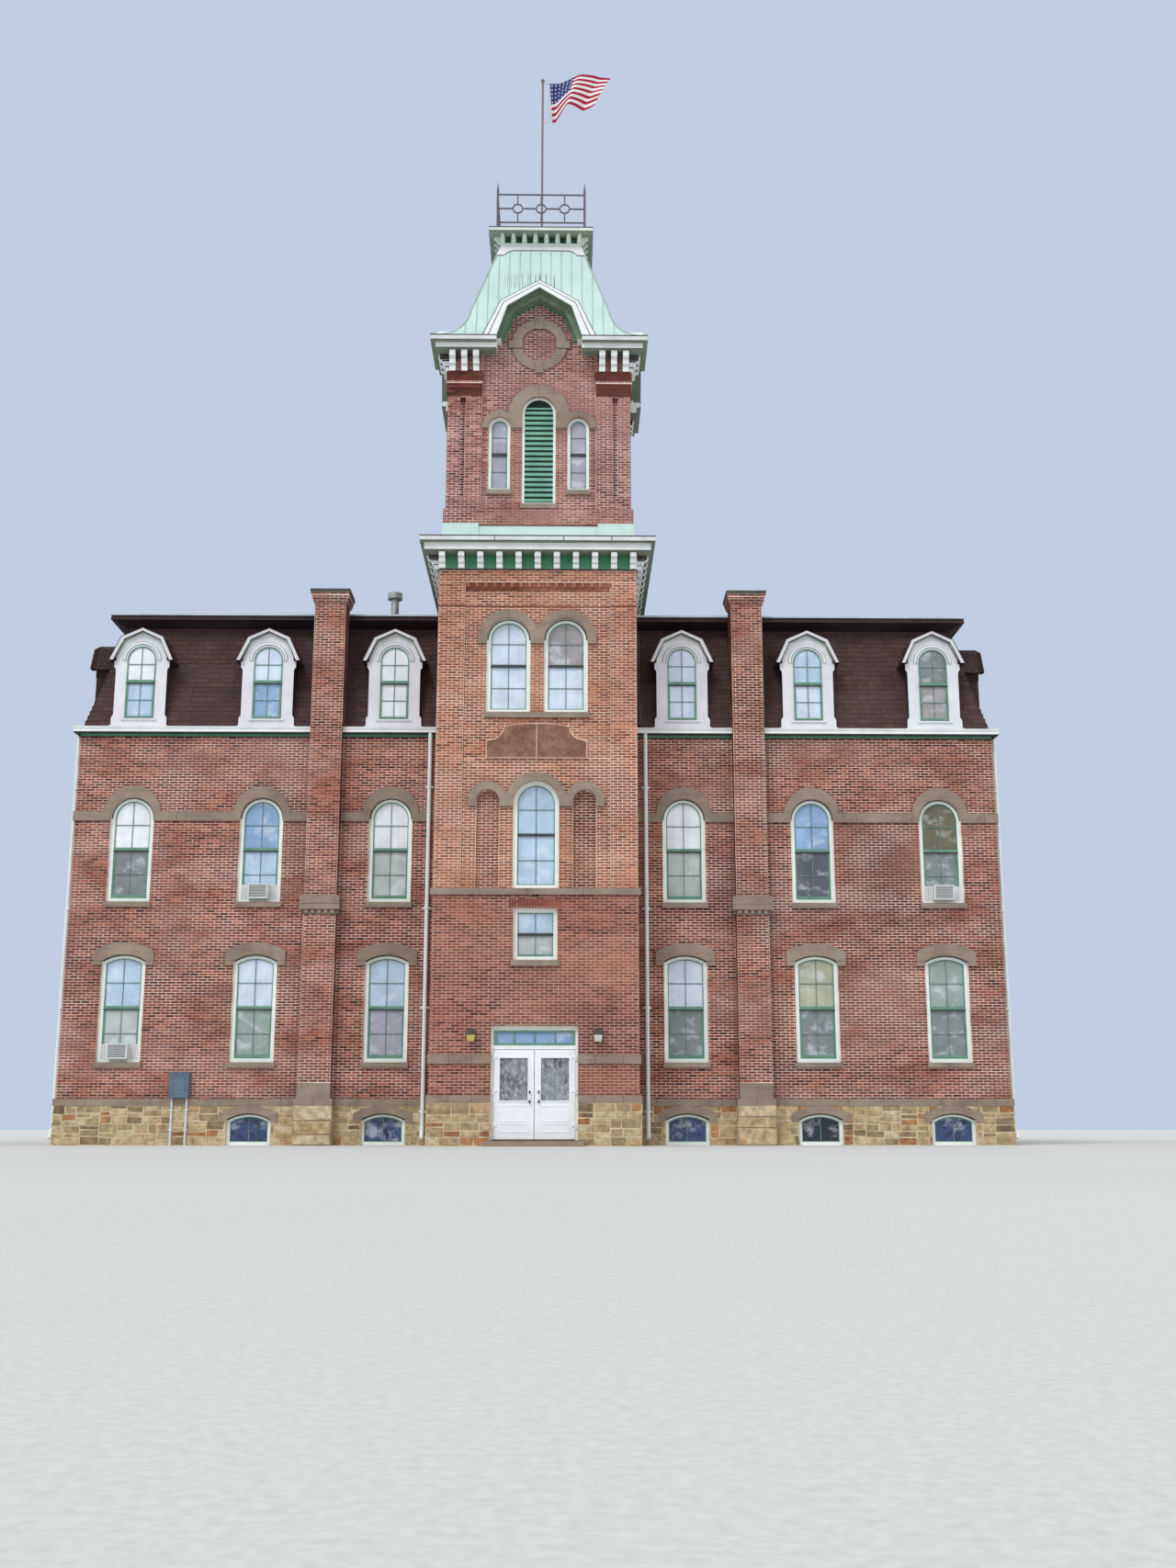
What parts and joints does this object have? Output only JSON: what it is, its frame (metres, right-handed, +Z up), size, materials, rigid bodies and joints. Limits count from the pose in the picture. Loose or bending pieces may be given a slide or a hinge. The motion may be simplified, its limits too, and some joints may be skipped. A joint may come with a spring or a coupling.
{
  "type": "school building",
  "caption": "Brick school building with a mansard roof, arched windows, dormers, a central bell tower with a flagpole, and double entrance doors that open.",
  "frame": {"origin": "on the ground under the middle of the building's whole extent", "axes": "+Z up, the front with the tower and the doors faces -Y, +X to the right when facing the front"},
  "size_m": [23.0538, 18.2, 28.915],
  "materials": {
    "brick": "rough fired clay laid in mortar",
    "sandstone": "weathered grey-brown sandstone",
    "rubble": "roughly coursed rubble",
    "white_paint": "white paint on wood",
    "floor": "boarded floor",
    "shingle": "dark brown shingles",
    "roof_metal": "pale green painted metal",
    "iron": "dark painted iron",
    "glass": "clear window glass",
    "louvre": "green paint on wood",
    "door_paint": "white gloss paint",
    "pipe": "white painted metal",
    "dark_pipe": "dark brown painted metal",
    "cabinet": "blue-grey paint",
    "bronze": "dark bronze paint",
    "galvanised": "weathered galvanised steel",
    "cooler": "pale housing",
    "pole": "grey painted metal",
    "flag": "woven nylon",
    "rope": "braided line",
    "step": "worn stone"
  },
  "bodies": {
    "building": {"foundation_front": "rubble", "foundation_sides": "rubble", "foundation_back": "rubble", "tower_base_front": "rubble", "tower_base_sides": "rubble", "water_table": "sandstone", "front_wall_left": "brick", "front_wall_right": "brick", "left_wall": "brick", "right_wall": "brick", "back_wall": "brick", "tower_wall_beside_door": "brick", "tower_front_wall": "brick", "tower_side_walls": "brick", "tower_back_wall": "brick", "ground_floor": "floor", "first_floor": "floor", "second_floor": "floor", "third_floor": "floor", "window_stonework": "sandstone", "tower_stonework": "sandstone", "name_tablet": "sandstone", "tower_cornice": "white_paint", "belfry_front_wall": "brick", "belfry_back_wall": "brick", "belfry_side_walls": "brick", "belfry_flashing": "roof_metal", "belfry_base_course": "brick", "belfry_stonework": "sandstone", "belfry_cornice": "white_paint", "belfry_louvres": "louvre", "tower_roof": "roof_metal", "roof_deck_cornice": "white_paint", "deck_railing": "iron", "flagpole": "pole", "halyard": "rope", "flag": "flag", "chimneys": "brick", "chimney_stonework": "sandstone", "eaves": "white_paint", "dormers": "white_paint", "mansard_roof": "shingle", "upper_roof": "shingle", "roof_vent": "galvanised", "window_frames": "white_paint", "window_glass": "glass", "tower_window_frames": "white_paint", "tower_glass": "glass", "door_frame": "white_paint", "transom_glass": "glass", "door_step": "step", "wall_lamps": "bronze", "downspouts": "pipe", "upper_downspouts": "dark_pipe", "meter_cabinet": "cabinet", "window_coolers": "cooler"},
    "left_door": {"left_door": "door_paint", "left_door_glass": "glass"},
    "right_door": {"right_door": "door_paint", "right_door_glass": "glass"}
  },
  "joints": [
    {"name": "left_door_swing", "type": "hinge", "parent": "building", "child": "left_door", "pos_m": [-0.935, -8.56, 0.13], "axis": [0, 0, -1], "range_deg": [0, 90]},
    {"name": "right_door_swing", "type": "hinge", "parent": "building", "child": "right_door", "pos_m": [0.935, -8.56, 0.13], "axis": [0, 0, 1], "range_deg": [0, 90]}
  ]
}
